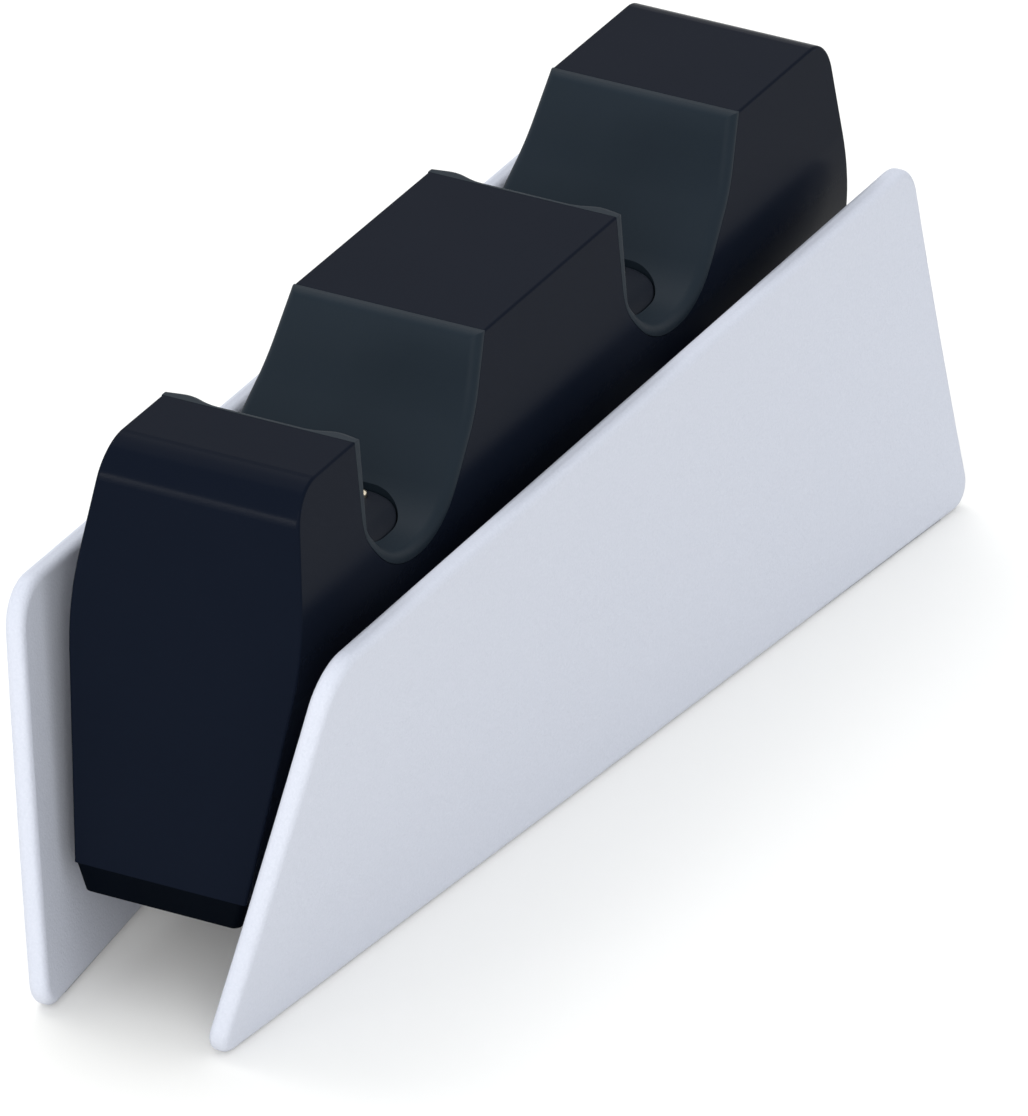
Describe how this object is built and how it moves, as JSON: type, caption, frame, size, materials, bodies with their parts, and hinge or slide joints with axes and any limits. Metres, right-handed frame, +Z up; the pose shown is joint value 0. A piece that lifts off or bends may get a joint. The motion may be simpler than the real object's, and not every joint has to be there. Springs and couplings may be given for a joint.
{
  "type": "controller charging dock",
  "caption": "Desk stand that holds and charges game controllers in padded U-shaped bays, carried between splayed white side plates.",
  "frame": {"origin": "on the floor, at the middle of the overall length and width", "axes": "+Z up, -Y towards the front end, +X to the right as seen from the front"},
  "size_m": [0.0654, 0.2128, 0.081],
  "materials": {
    "body_black": "satin, near-black with a blue cast",
    "base_black": "matt",
    "side_white": "fine-grained satin white",
    "pad_grey": "soft satin",
    "block_grey": "satin",
    "contact_gold": "polished plating",
    "spring_steel": "bright",
    "board_green": "solder mask",
    "connector_white": "natural",
    "chip_black": "matt",
    "ferrite_grey": "sintered, dull",
    "copper_wire": "enamelled copper wire",
    "capacitor_metal": "bright can",
    "jack_black": "moulded",
    "screw_steel": "zinc plated",
    "lead_grey": "flexible sheath",
    "foot_rubber": "matt"
  },
  "bodies": {
    "dock": {"base_cover": "base_black", "base_screws": "screw_steel", "bay_liner_front": "pad_grey", "bay_liner_rear": "pad_grey", "board_capacitors": "capacitor_metal", "board_chips": "chip_black", "board_connectors": "connector_white", "board_screws": "screw_steel", "coil_core": "ferrite_grey", "coil_winding": "copper_wire", "contact_block_front": "block_grey", "contact_block_rear": "block_grey", "contact_board_front": "board_green", "contact_board_rear": "board_green", "contact_board_screws": "screw_steel", "contact_spring_front_left": "spring_steel", "contact_spring_front_right": "spring_steel", "contact_spring_rear_left": "spring_steel", "contact_spring_rear_right": "spring_steel", "foot_strip_left": "foot_rubber", "foot_strip_right": "foot_rubber", "housing": "body_black", "jack_pin": "contact_gold", "lead_front": "lead_grey", "lead_rear": "lead_grey", "main_board": "board_green", "power_jack": "jack_black", "wing_left": "side_white", "wing_right": "side_white"},
    "pin_front_left": {"contact_pin_front_left": "contact_gold"},
    "pin_front_right": {"contact_pin_front_right": "contact_gold"},
    "pin_rear_left": {"contact_pin_rear_left": "contact_gold"},
    "pin_rear_right": {"contact_pin_rear_right": "contact_gold"}
  },
  "joints": [
    {"name": "press_front_left", "type": "slide", "parent": "dock", "child": "pin_front_left", "axis": [0, 0, -1], "range_m": [0, 0.0008], "stiffness_N_per_m": 300, "deforming": ["contact_spring_front_left"]},
    {"name": "press_front_right", "type": "slide", "parent": "dock", "child": "pin_front_right", "axis": [0, 0, -1], "range_m": [0, 0.0008], "stiffness_N_per_m": 300, "deforming": ["contact_spring_front_right"]},
    {"name": "press_rear_left", "type": "slide", "parent": "dock", "child": "pin_rear_left", "axis": [0, 0, -1], "range_m": [0, 0.0008], "stiffness_N_per_m": 300, "deforming": ["contact_spring_rear_left"]},
    {"name": "press_rear_right", "type": "slide", "parent": "dock", "child": "pin_rear_right", "axis": [0, 0, -1], "range_m": [0, 0.0008], "stiffness_N_per_m": 300, "deforming": ["contact_spring_rear_right"]}
  ]
}
